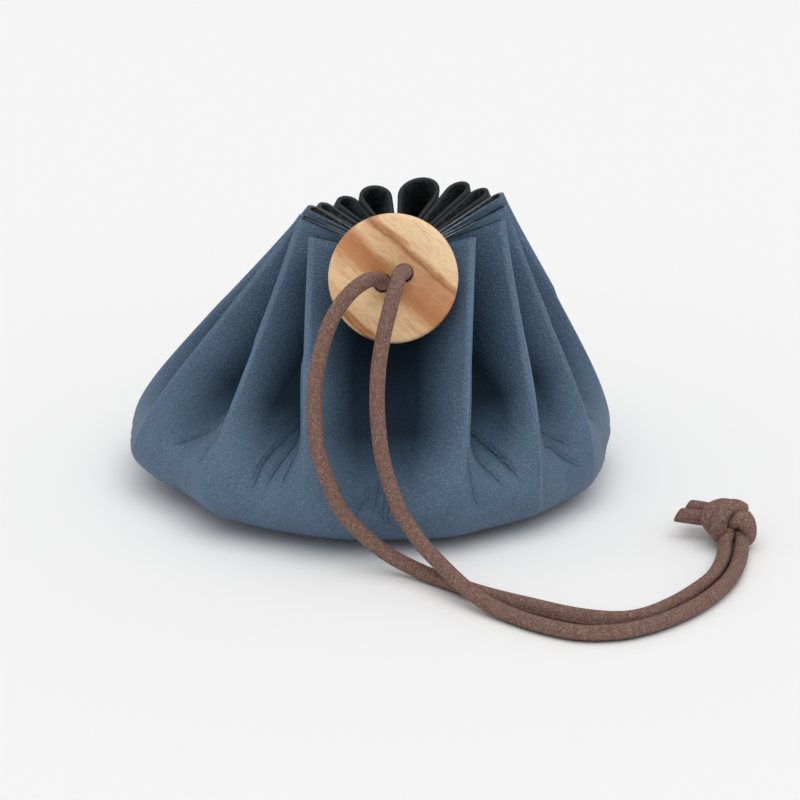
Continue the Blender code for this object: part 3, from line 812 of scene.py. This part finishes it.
# %% Strokes and ripples
STROKES = (
    (((23.7, 22.6), (28.2, 19.6), (32.5, 17.3), (36.6, 13.0), (38.8, 10.0)), 0.42),
    (((26.2, 21.2), (31.5, 17.4), (34.6, 15.7), (37.4, 14.8)), 0.28),
    (((22.9, 20.6), (25.4, 17.8), (29.7, 14.0), (33.1, 11.1), (34.3, 9.3)), 0.32),
    (((22.2, 19.8), (23.1, 15.7), (24.3, 10.5), (26.9, 7.2)), 0.25),
    (((47.1, 19.2), (49.8, 17.3), (55.0, 14.8), (59.5, 12.5)), 0.26),
    (((45.7, 16.4), (49.9, 14.9), (54.4, 12.0), (59.8, 8.9)), 0.32),
    (((68.9, 17.0), (71.9, 16.0), (78.0, 13.0)), 0.28),
    (((1.4, 14.6), (1.2, 12.4), (0.9, 10.2), (0.2, 7.9)), 0.26),
    (((-1.2, 14.0), (-0.9, 11.6), (-0.8, 8.8)), 0.24),
    (((2.9, 13.4), (2.8, 9.0), (3.0, 5.9)), 0.28),
    (((4.4, 11.6), (4.1, 8.0), (4.5, 5.8)), 0.26),
    (((-2.6, 12.0), (-2.9, 9.4), (-3.9, 6.6)), 0.24),
    (((-22.9, 24.2), (-26.1, 20.6), (-29.2, 17.2), (-29.8, 15.0), (-29.2, 12.7), (-28.8, 8.7)), 0.36),
    (((-21.9, 22.4), (-23.2, 19.1), (-24.7, 16.6), (-25.7, 13.9), (-26.2, 10.6)), 0.34),
    (((-20.7, 20.1), (-21.7, 16.7), (-22.2, 14.2), (-22.0, 11.3)), 0.26),
    (((-23.2, 25.4), (-29.8, 21.1), (-34.6, 18.3)), 0.24),
    (((-46.4, 21.6), (-49.6, 19.2), (-54.9, 16.0), (-59.0, 14.0), (-63.0, 12.4)), 0.30),
    (((-43.9, 19.8), (-45.0, 17.4), (-46.2, 14.3), (-47.8, 11.7)), 0.28),
)
STROKE_WIDTH = 0.6 * MM
STROKE_REACH = 1.6 * MM
RIPPLE = 0.2 * MM
RIPPLE_PITCH = 1.9 * MM
SWELL = 0.55 * MM


def strokes_near(azimuth, height):
    """Signed distance and strength of the strongest stroke here, for each of the three sets."""
    gaps, strengths = Vector((9, 9, 9)), Vector((0, 0, 0))
    arc = BELLY_RADIUS * math.pi / 180
    here = Vector((azimuth * arc, height))
    for index, (points, press) in enumerate(STROKES):
        places = [Vector((a * arc, h * MM)) for a, h in points]
        total = length_of(places)
        run, best = 0.0, None
        for a, b in zip(places, places[1:]):
            way = b - a
            share = min(max((here - a).dot(way) / way.length_squared, 0.0), 1.0)
            off = here - a.lerp(b, share)
            if best is None or off.length < best[0]:
                gap = math.copysign(off.length, way.cross(here - a))
                best = (off.length, gap, (run + share * way.length) / total)
            run += way.length
        reach, gap, along = best
        if reach < 3 * STROKE_REACH:
            fade = smooth(0.0, 0.2, along) * (1 - smooth(0.7, 1.0, along))
            strength = press * fade * math.exp(-(reach / STROKE_REACH) ** 2)
            if strength > strengths[index % 3]:
                gaps[index % 3] = gap / MM
                strengths[index % 3] = strength
    return gaps, strengths


def stroke_depth(gaps, strengths):
    """How deep the drawn creases press in."""
    return max(s * math.exp(-(g * MM / STROKE_WIDTH) ** 2) for g, s in zip(gaps, strengths)) * 2 * MM


def ripple_depth(azimuth, height, crest, t):
    """Fine ripples that run up and down the surface near the feet of the valleys."""
    valley = 1 - smooth(0.1, 0.75, crest)
    band = smooth(-0.75, 0.05, t) * (1 - smooth(0.12, 0.42, t))
    arc = BELLY_RADIUS * math.radians(azimuth)
    wander = noise.noise(Vector((arc / (6 * MM), height / (7 * MM), 3.1)))
    wave = noise.noise(Vector(((arc + wander * 3 * MM) / RIPPLE_PITCH, height / (9 * MM), 7.7)))
    return RIPPLE * wave * band * (0.35 + valley)


def slack_depth(azimuth, height, t):
    """Slow, shallow swells that keep the belly from looking turned on a lathe."""
    arc = BELLY_RADIUS * math.radians(azimuth)
    swell = noise.noise(Vector((arc / (14 * MM), height / (16 * MM), 1.3)))
    return SWELL * swell * smooth(-0.9, -0.2, t) * (1 - smooth(0.5, 1.0, t))


# %% [markdown]
# ## The leather's mesh
#
# The rows become one skin of faces. Each point is pressed in along its own normal by the creases,
# then moved with the slumped belly and the leaning neck. A Solidify modifier gives the skin its real
# thickness, with separate materials for the grain side, the suede side and the cut edge.

# %% Build the skin
def pouch_skin():
    shape = bmesh.new()
    crest_layer, open_layer, low_layer, rise_layer = (
        shape.verts.layers.float.new(name) for name in ("crest", "open", "low_ridge", "rise"))
    gap_layer, press_layer = (
        shape.verts.layers.float_vector.new(name) for name in ("crease_gap", "crease_press"))
    rows, facts = [], []
    for row, t in leather_rows():
        verts = []
        for point, crest, fold in row:
            vert = shape.verts.new(point)
            vert[crest_layer] = crest
            vert[open_layer] = smooth(1.15 * MM, 1.5 * MM, FOLDS[fold][2])
            vert[low_layer] = 1.0 if fold in LOW_RIDGES else 0.0
            vert[rise_layer] = t
            verts.append(vert)
            azimuth = math.degrees(math.atan2(point.x, -point.y))
            facts.append((vert, azimuth, point.z, crest, t))
        rows.append(verts)
    shape.faces.new(rows[0][::-1])
    for low, high in zip(rows, rows[1:]):
        for i in range(len(low)):
            j = (i + 1) % len(low)
            shape.faces.new((low[i], low[j], high[j], high[i]))
    bmesh.ops.recalc_face_normals(shape, faces=shape.faces)
    shape.normal_update()
    moves = []
    for vert, azimuth, height, crest, t in facts:
        press = 0.0
        if -1 < t < 0.6:
            gaps, strengths = strokes_near(azimuth, height)
            vert[gap_layer], vert[press_layer] = gaps, strengths
            press = stroke_depth(gaps, strengths) - ripple_depth(azimuth, height, crest, t)
            press -= slack_depth(azimuth, height, t)
        moves.append(vert.normal * -press)
    for (vert, *_), move in zip(facts, moves):
        vert.co = lean(slump(vert.co + move))
    for face in shape.faces:
        face.smooth = True
    bmesh.ops.triangulate(shape, faces=[f for f in shape.faces if len(f.verts) > 4])
    return shape


# %% [markdown]
# ## Dyed leather, suede and the cut edge
#
# The grain side is dyed nappa: a fine pebble grain of about half a millimetre with pale specks, and
# an uneven greyish blue. The valleys carry painted shade, darkest at their bottoms, and in the broad
# hollow at the front the painted shade sets in more sharply. Near the rim the sides of the open loops
# are painted nearly black, a painted shadow between them. A thin paler line runs along the crests of
# the folds, and the drawn creases are painted dark as painted shade. The suede side is black with
# short soft fibres that catch a grey sheen. The cut edge is dark on the open loops and a thin grey
# line on the flat folds.

# %% The leather's materials
GRAIN = 0.6 * MM
CREASE_LINE = 0.16
FRONT_HOLLOW_MIDDLE = 3.0 * MM
FRONT_HOLLOW_REACH = 13 * MM


def drawn_creases(tree, wobble, offset):
    """The strokes as sharp lines, or a finer line beside each, from the distances in the mesh."""
    gap, press = (add_node(tree, "Attribute", attribute_name=name).outputs["Vector"]
                  for name in ("crease_gap", "crease_press"))
    shaken = vector_maths(tree, "ADD", gap, wobble)
    near = vector_maths(tree, "MULTIPLY_ADD", shaken, (1 / CREASE_LINE,) * 3, (offset,) * 3)
    wide = vector_maths(tree, "ADD", vector_maths(tree, "MULTIPLY", near, near), (1, 1, 1))
    return vector_maths(tree, "DOT_PRODUCT", vector_maths(tree, "DIVIDE", (1, 1, 1), wide), press)


def dyed_nappa():
    finish, tree, shader = new_material("blue_nappa_leather", Roughness=0.56)
    place = object_place(tree)
    crest, rise, openness, low = (
        kept_number(tree, name) for name in ("crest", "rise", "open", "low_ridge"))
    flat = stretched(tree, place, (1, 1, 1.5))
    cells = add_node(tree, "TexVoronoi", {"Vector": flat, "Scale": 1 / GRAIN}).outputs["Distance"]
    pores = cloudy(tree, flat, 2600, 3.0)
    dye = ramp(tree, cloudy(tree, place, 110, 4.0), (0.32, "#465E76"), (0.70, "#4E6781"))
    specks = blended(tree, ranged(tree, pores, 0.48, 0.72, 0.0, 0.42), dye, "#879AAC")
    split = add_node(tree, "SeparateXYZ", {"Vector": place}).outputs
    # Painted shade: the valleys are darkened towards #0F1A24, and in the broad hollow at the front the
    # darkening sets in more sharply.
    aside = maths(tree, "COMPARE", split["X"], FRONT_HOLLOW_MIDDLE, FRONT_HOLLOW_REACH)
    front = times(tree, aside, ranged(tree, split["Y"], -14 * MM, -6 * MM, 1.0, 0.0))
    rise = maths(tree, "MULTIPLY_ADD", front, 0.08, rise)
    front_hollow_shade = times(tree, ranged(tree, crest, 0.38, 0.68, 1.0, 0.0), front)
    hollow_shade = maths(tree, "MAXIMUM", ranged(tree, crest, 0.22, 0.72, 1.0, 0.0), front_hollow_shade)
    valley = times(tree, hollow_shade, ranged(tree, rise, 0.10, 0.43, 0.0, 0.9))
    shaded = blended(tree, valley, specks, "#0F1A24")
    tree.links.new(ranged(tree, valley, 0.0, 0.6, 0.35, 0.04), shader.inputs["Specular IOR Level"])
    # Painted shadow: near the rim the sides of the open loops, just off their crests, are darkened nearly
    # to black.
    gathered = times(tree, ranged(tree, crest, 0.80, 0.98, 0.9, 0.0),
                     ranged(tree, rise, 0.80, 0.93, 0.0, 1.0))
    loop_shaded = blended(tree, times(tree, gathered, openness), shaded, "#0D1013")
    # A thin paler line along the crests of the folds, on the belly's low ridges and higher up the slope.
    low = times(tree, low, ranged(tree, rise, -0.75, -0.45, 0.0, 1.0))
    seen = maths(tree, "MAXIMUM", low, ranged(tree, rise, 0.12, 0.4, 0.0, 0.8))
    crest_line = times(tree, ranged(tree, crest, 0.955, 1.0, 0.0, 0.3), seen)
    crest_lined = blended(tree, crest_line, loop_shaded, "#8C9DAD")
    wobble = vector_maths(tree, "MULTIPLY_ADD", cloudy(tree, place, 700, 2.0, "Color"),
                          (0.6,) * 3, (-0.3,) * 3)
    lines = drawn_creases(tree, wobble, 0.0)
    for offset, weight in ((5.0, 0.5), (-4.5, 0.4)):
        lines = maths(tree, "MULTIPLY_ADD", drawn_creases(tree, wobble, offset), weight, lines)
    # Painted shade: the drawn creases darken the colour towards #1B2733; they also press in as a bump.
    crease_shaded = blended(tree, ranged(tree, lines, 0.05, 0.45, 0.0, 0.6), crest_lined, "#1B2733")
    grain = maths(tree, "MULTIPLY_ADD", cells, 0.8, pores)
    relief = maths(tree, "MULTIPLY_ADD", lines, -6.0, grain)
    finish_surface(tree, shader, crease_shaded, relief, 0.8, 0.16 * MM)
    return finish


def black_suede():
    finish, tree, shader = new_material("black_suede", Roughness=0.95, Sheen_Weight=0.12,
                                        Sheen_Roughness=0.6, Sheen_Tint=linear("#7F8A92"))
    nap = cloudy(tree, object_place(tree), 900, 5.0)
    colour = ramp(tree, nap, (0.44, "#0B0D0E"), (0.72, "#34383A"))
    finish_surface(tree, shader, colour, nap, 0.6, 0.2 * MM)
    return finish


def cut_edge():
    finish, tree, shader = new_material("cut_leather_edge", Roughness=0.7)
    fibre = cloudy(tree, object_place(tree), 1200, 3.0)
    pale = ramp(tree, fibre, (0.35, "#46535F"), (0.70, "#7C8790"))
    colour = blended(tree, kept_number(tree, "open"), pale, "#15191C")
    tree.links.new(colour, shader.inputs["Base Color"])
    return finish


# %% Thicken and dress the skin
leather = finish_piece("leather_pouch", pouch_skin(), dyed_nappa(), black_suede(), cut_edge())
wall = leather.modifiers.new("Leather thickness", "SOLIDIFY")
wall.thickness = LEATHER
wall.offset = 0.0
wall.use_even_offset = True
wall.material_offset = 1
wall.material_offset_rim = 2
only(leather)
bpy.ops.object.modifier_apply(modifier=wall.name)
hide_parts("leather_body")
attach(leather, "pouch")

# %% [markdown]
# ## The wooden stopper
#
# The stopper is a slice of olive wood, turned flat and round with a lightly eased rim and drilled
# twice. A cylinder is added at its real size, its two edges are bevelled, and the holes are cut with
# a Boolean and eased in turn. It is modelled lying flat at the origin and then put in its place.

# %% Turn the stopper
BUTTON_DIAMETER = 24.0 * MM
BUTTON_EDGE = 0.9 * MM
HOLE_RADIUS = CORD / 2 + 0.3 * MM
HOLE_EDGE = 0.22 * MM


def bevel_edges(piece, wanted, width, segments):
    """Bevels the edges of a piece that a test on their two ends picks out."""
    only(piece)
    bpy.ops.object.mode_set(mode="EDIT")
    shape = bmesh.from_edit_mesh(piece.data)
    for part in (shape.verts, shape.edges, shape.faces):
        for one in part:
            one.select = False
    for edge in shape.edges:
        if wanted(edge.verts[0].co, edge.verts[1].co):
            edge.select = True
    bmesh.update_edit_mesh(piece.data)
    bpy.ops.mesh.bevel(offset=width, segments=segments, profile=0.5, affect="EDGES")
    bpy.ops.object.mode_set(mode="OBJECT")


def turn_stopper():
    level = BUTTON_THICKNESS / 20
    hole_turn = Vector((math.cos(HOLE_TURN), math.sin(HOLE_TURN), 0))
    holes = [hole_turn * (way * HOLE_PITCH / 2) for way in (-1, 1)]
    bpy.ops.mesh.primitive_cylinder_add(vertices=160, radius=BUTTON_DIAMETER / 2, depth=BUTTON_THICKNESS)
    disc = bpy.context.active_object
    disc.name = disc.data.name = "olive_wood_stopper"
    drills = []
    for hole in holes:
        bpy.ops.mesh.primitive_cylinder_add(vertices=64, radius=HOLE_RADIUS, depth=BUTTON_THICKNESS * 2,
                                            location=hole)
        drills.append(bpy.context.active_object)
    for drill in drills:
        cut = disc.modifiers.new("Hole", "BOOLEAN")
        cut.operation = "DIFFERENCE"
        cut.object = drill
        only(disc)
        bpy.ops.object.modifier_apply(modifier=cut.name)
        bpy.data.objects.remove(drill)

    def rim(a, b):
        return abs(a.z - b.z) < level and min(a.xy.length, b.xy.length) > BUTTON_DIAMETER * 0.49

    def mouth(a, b):
        near = all(any(abs((p.xy - hole.xy).length - HOLE_RADIUS) < 0.02 * MM for hole in holes)
                   for p in (a, b))
        return near and abs(a.z - b.z) < level

    bevel_edges(disc, rim, BUTTON_EDGE, 5)
    bevel_edges(disc, mouth, HOLE_EDGE, 2)
    place = Matrix((button_side, button_up, button_axis)).transposed().to_4x4()
    place.translation = button_middle
    disc.data.transform(place)
    only(disc)
    bpy.ops.object.shade_smooth_by_angle(angle=math.radians(40))
    return disc


# %% [markdown]
# ## Olive wood
#
# Olive is a pale honey wood with brown streaks that run with the grain. Here the grain runs from the
# upper left to the lower right. Across it, one ramp lays out the broad bands: pale at the top right,
# a narrow brown streak, a wide reddish one through the holes, and a dark sliver near the lower left
# edge. Noise that is stretched along the grain bends the bands and adds the fine fibres.

# %% The stopper's material
GRAIN_TURN = math.radians(-40)
GRAIN_SPAN = 24 * MM
SWAY = 0.22


def olive_wood():
    finish, tree, shader = new_material("oiled_olive_wood", Roughness=0.42, Coat_Weight=0.15,
                                        Coat_Roughness=0.3)
    place = object_place(tree)
    centred = add_node(tree, "Mapping", {"Vector": place, "Location": -button_middle}).outputs["Vector"]
    turn = Matrix.Rotation(GRAIN_TURN, 3, "Y").to_euler()
    grain = add_node(tree, "Mapping", {"Vector": centred, "Rotation": turn}).outputs["Vector"]
    sway = add_node(tree, "TexNoise", {"Vector": stretched(tree, grain, (70, 200, 300)), "Scale": 1.0,
                                       "Detail": 5.0, "Roughness": 0.62}).outputs["Fac"]
    split = add_node(tree, "SeparateXYZ", {"Vector": grain}).outputs
    across = maths(tree, "MULTIPLY_ADD", split["Z"], 1 / GRAIN_SPAN, 0.5)
    bent = maths(tree, "MULTIPLY_ADD", sway, SWAY, across)
    shifted = maths(tree, "SUBTRACT", bent, SWAY / 2)
    bands = ramp(tree, shifted, (0.04, "#D9AE80"), (1.0, "#F4D5A8"), (0.07, "#8A5530"),
                 (0.085, "#C08A58"), (0.10, "#93602F"), (0.125, "#DDB084"), (0.24, "#EFCB9C"),
                 (0.37, "#E6BC8C"), (0.44, "#C98D58"), (0.52, "#B97646"), (0.57, "#CF9A66"),
                 (0.62, "#EAC598"), (0.69, "#DDAC7C"), (0.735, "#9C6640"), (0.765, "#C9935F"),
                 (0.80, "#EFCB9E"))
    fibre = cloudy(tree, stretched(tree, grain, (380, 2600, 4200)), 1.0, 5.0)
    streaks = cloudy(tree, stretched(tree, grain, (150, 700, 1100)), 1.0, 3.0)
    heart = times(tree, ranged(tree, shifted, 0.40, 0.50, 0.0, 1.0),
                  ranged(tree, shifted, 0.66, 0.74, 1.0, 0.0))
    heart = times(tree, ranged(tree, split["X"], -1.0 * MM, 5.0 * MM, 0.0, 0.85), heart)
    warm = blended(tree, heart, bands, "#BC7B4A")
    stained = blended(tree, ranged(tree, streaks, 0.5, 0.75, 0.0, 0.45), warm, "#B0713F")
    colour = blended(tree, ranged(tree, fibre, 0.5, 0.78, 0.0, 0.42), stained, "#8E5730")
    finish_surface(tree, shader, colour, fibre, 0.12, 0.1 * MM)
    return finish


stopper = turn_stopper()
stopper.data.materials.clear()
stopper.data.materials.append(olive_wood())
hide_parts("wood_button")
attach(stopper, "stopper")
print("stopper", len(stopper.data.polygons), "faces")

# %% [markdown]
# ## Table and light
#
# The table is plain matt paper, nearly white, and it fades into a white background. An even white
# sky lights the pouch from all sides. One very broad, soft sun from above and a little in front gives
# the folds their form and keeps the shadow on the table faint.

# %% The table
bpy.ops.mesh.primitive_plane_add(size=4.0, location=(0, 0, 0))
table = bpy.context.active_object
table.name = "table"
table.data.materials.append(new_material("white_paper", Roughness=0.9, Base_Color=linear("#F5F5F5"))[0])

# %% The lamps
WORLD_STRENGTH = 0.60
SUN_STRENGTH = 1.35
SUN_SPREAD = math.radians(75)
SUN_WAY = Vector((0.08, -0.30, 1.0))


def light_the_table():
    world = bpy.data.worlds.new("studio")
    world.use_nodes = True
    back = world.node_tree.nodes["Background"]
    back.inputs["Color"].default_value = linear("#FFFFFF")
    back.inputs["Strength"].default_value = WORLD_STRENGTH
    bpy.context.scene.world = world
    lamp = bpy.data.lights.new("ceiling", "SUN")
    lamp.energy = SUN_STRENGTH
    lamp.angle = SUN_SPREAD
    holder = bpy.data.objects.new("ceiling", lamp)
    holder.rotation_euler = SUN_WAY.to_track_quat("Z", "Y").to_euler()
    bpy.context.scene.collection.objects.link(holder)


light_the_table()
bpy.context.scene.view_settings.view_transform = "Standard"
